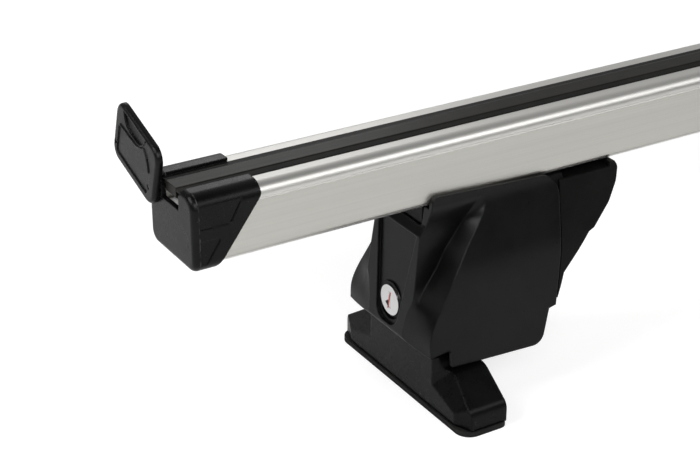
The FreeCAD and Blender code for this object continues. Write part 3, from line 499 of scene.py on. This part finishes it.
capMark = {
    "across": -13.5, "height": 103.9, "radius": 0.75, "sides": 24,
    "depth": 0.4, "proud": 0.08, "round": 0.1,
}
for side in ends:
    bpy.ops.object.select_all(action="DESELECT")
    spot = atEnd((capMark["depth"] / 2 - capMark["proud"], capMark["across"], capMark["height"]), side)
    bpy.ops.mesh.primitive_cylinder_add(vertices=capMark["sides"], radius=mill(capMark["radius"]),
                                        depth=mill(capMark["depth"]), location=spot,
                                        rotation=(0, math.radians(90), 0))
    mark = bpy.context.object
    mark.name = side + "_ejector_mark"
    bpy.ops.object.transform_apply(location=True, rotation=True, scale=True)
    soften(mark, capMark["round"])
    settle(mark, plastic["mark"], "crossbar")
print("end caps: ejector marks")


# Studio: pale floor, white surroundings, large soft lamps, and the camera of the photograph

# The surroundings light the object by low to high, most from the given side
dome = {"side": (0.35, 0.75, 0.45), "start": 0.45, "knee": 0.95, "low": 0.09, "high": 0.45}
world = bpy.data.worlds.new("studioWorld")
bpy.context.scene.world = world
world.use_nodes = True
surround = Graph(world.node_tree)
background = world.node_tree.nodes["Background"]
background.inputs["Color"].default_value = (1, 1, 1, 1)
way = surround.node("ShaderNodeTexCoord", None, None, "Generated")
facing = surround.node("ShaderNodeVectorMath", {"operation": "DOT_PRODUCT"}, {0: way, 1: dome["side"]}, "Value")
reach = {"From Min": dome["start"], "From Max": dome["knee"], "To Min": dome["low"], "To Max": dome["high"]}
light = surround.node("ShaderNodeMapRange", None, {"Value": facing, **reach})
seen = surround.node("ShaderNodeLightPath", None, None, "Is Camera Ray")
shown = surround.node("ShaderNodeMix", None, {"Factor": seen, "A": light, "B": 1.0})
surround.feed(background.inputs["Strength"], shown)  # plain white to the camera

# The floor throws back light as lit says, and the camera sees it as shown, with some plain white mixed in
paper = {"size": 12, "rough": 0.9, "lit": 0.86, "shown": 1.6, "white": 0.65}
bpy.ops.object.select_all(action="DESELECT")
bpy.ops.mesh.primitive_plane_add(size=paper["size"], location=(0, 0, 0))
floor = bpy.context.object
floor.name = "studioFloor"
look = Look("floorWhite", {"Roughness": paper["rough"], "Specular IOR Level": 0.0})
seen = look.node("ShaderNodeLightPath", None, None, "Is Camera Ray")
look.feed(look.shader.inputs["Base Color"], look.blend(seen, (paper["lit"],) * 3, (paper["shown"],) * 3))
white = look.node("ShaderNodeEmission", None, {"Color": (1, 1, 1, 1), "Strength": 1.0})
look.cover(paper["white"] * seen, white)
floor.data.materials.append(look.material)

lamps = {
    "keyLamp": {"power": 28, "size": (1.4, 1.0), "place": (-2.1, 0.25, 1.55), "aim": (-0.45, 0, 0.08)},
    "rimLamp": {"power": 1.3, "size": (0.5, 0.4), "place": (0.25, 1.6, 0.93), "aim": (-0.5, 0, 0.1)},
    "fillLamp": {"power": 26, "size": (1.8, 1.0), "place": (-1.0, -1.7, 1.35), "aim": (-0.4, 0, 0.08)},
    "lipLamp": {"power": 4, "size": (0.9, 0.5), "place": (0.32, -1.05, 1.1), "aim": (-0.35, 0, 0.12)},
    "farLipLamp": {"power": 3, "size": (0.8, 0.5), "place": (1.35, -0.55, 1.1), "aim": (-0.1, 0, 0.12)},
}
for name, setting in lamps.items():
    data = bpy.data.lights.new(name, "AREA")
    data.shape = "RECTANGLE"
    data.size, data.size_y = setting["size"]
    data.energy = setting["power"]
    lamp = bpy.data.objects.new(name, data)
    bpy.context.collection.objects.link(lamp)
    lamp.location = setting["place"]
    beam = Vector(setting["aim"]) - Vector(setting["place"])
    lamp.rotation_euler = beam.to_track_quat("-Z", "Y").to_euler()

photoView = {"place": (-0.85935, -0.55897, 0.40839), "down": 26.48, "turn": 31.24, "lens": 89.69, "film": 36}
camera = bpy.data.cameras.new("photoCamera")
camera.sensor_fit = "HORIZONTAL"
camera.sensor_width = photoView["film"]
camera.lens = photoView["lens"]
camera.clip_start = 0.01
eye = bpy.data.objects.new("photoCamera", camera)
bpy.context.collection.objects.link(eye)
eye.location = photoView["place"]
eye.rotation_euler = (math.radians(90 - photoView["down"]), 0, math.radians(-photoView["turn"]))
bpy.context.scene.camera = eye
bpy.context.scene.view_settings.view_transform = "Standard"
print("studio: floor,", len(lamps), "lamps and camera")
